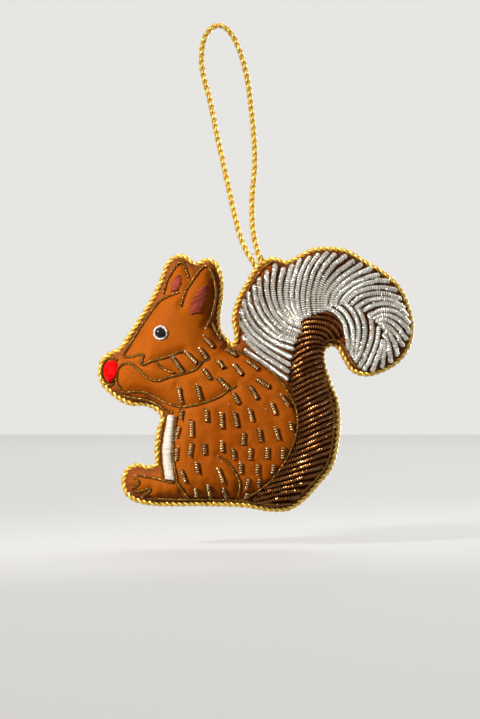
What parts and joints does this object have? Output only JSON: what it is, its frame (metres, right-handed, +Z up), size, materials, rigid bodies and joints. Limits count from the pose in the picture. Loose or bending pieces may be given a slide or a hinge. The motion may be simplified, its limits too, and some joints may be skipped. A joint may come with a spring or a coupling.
{
  "type": "squirrel ornament",
  "caption": "Padded fabric squirrel in profile with coiled metal wire embroidery, a corded seam and a sewn cord loop to hang it by.",
  "frame": {"origin": "inside the top bend of the hanging loop, where a hook bears", "axes": "+X towards the tail, -Y towards the embroidered front, +Z up the hanging loop"},
  "size_m": [0.1053, 0.0171, 0.1635],
  "materials": {
    "front_fabric": "satin weave",
    "back_fabric": "plain weave",
    "fibre_filling": "loose fibre",
    "gold_cord": "metallic two ply twist",
    "sewing_thread": "spun thread",
    "silver_purl": "coiled wire",
    "bronze_purl": "coiled wire",
    "fur_purl": "faceted coiled wire",
    "outline_wire": "ribbed coiled wire",
    "red_thread": "satin stitch",
    "ear_thread": "satin stitch",
    "white_thread": "satin stitch",
    "eye_white": "glossy",
    "eye_black": "glossy"
  },
  "bodies": {
    "hanging_loop": {"hanging_loop": "gold_cord"},
    "squirrel": {"back_panel": "back_fabric", "back_wire": "outline_wire", "base_wire": "outline_wire", "bronze_lower": "bronze_purl", "bronze_upper": "bronze_purl", "brow_wire": "outline_wire", "cheek_wire": "outline_wire", "chest_front_wire": "outline_wire", "chest_patch": "white_thread", "chest_rear_wire": "outline_wire", "curl_edge_wire": "outline_wire", "edge_cord": "gold_cord", "eye_bead": "eye_black", "eye_ring": "eye_white", "far_ear_patch": "ear_thread", "far_ear_wire": "outline_wire", "foot_wire": "outline_wire", "front_panel": "front_fabric", "front_toe_wire": "outline_wire", "fur_cheek": "fur_purl", "fur_chest": "fur_purl", "fur_flank": "fur_purl", "fur_haunch": "fur_purl", "fur_nape": "fur_purl", "fur_rump": "fur_purl", "fur_thigh": "fur_purl", "haunch_wire": "outline_wire", "jaw_wire": "outline_wire", "leg_wire": "outline_wire", "loop_stitch": "sewing_thread", "mouth_wire": "outline_wire", "nape_wire": "outline_wire", "near_ear_patch": "ear_thread", "near_ear_wire": "outline_wire", "nose_patch": "red_thread", "nose_wire": "outline_wire", "rear_toe_wire": "outline_wire", "silver_crown": "silver_purl", "silver_curl": "silver_purl", "silver_heart": "silver_purl", "silver_inner": "silver_purl", "silver_rear": "silver_purl", "silver_tip": "silver_purl", "stem_edge_wire": "outline_wire", "stuffing": "fibre_filling", "tail_edge_wire": "outline_wire", "throat_wire": "outline_wire", "whisker_wire": "outline_wire"}
  },
  "joints": [
    {"name": "loop_swing", "type": "hinge", "parent": "hanging_loop", "child": "squirrel", "pos_m": [0.0127, 0, -0.0755], "axis": [1, 0, 0], "range_deg": [-120, 120]}
  ]
}
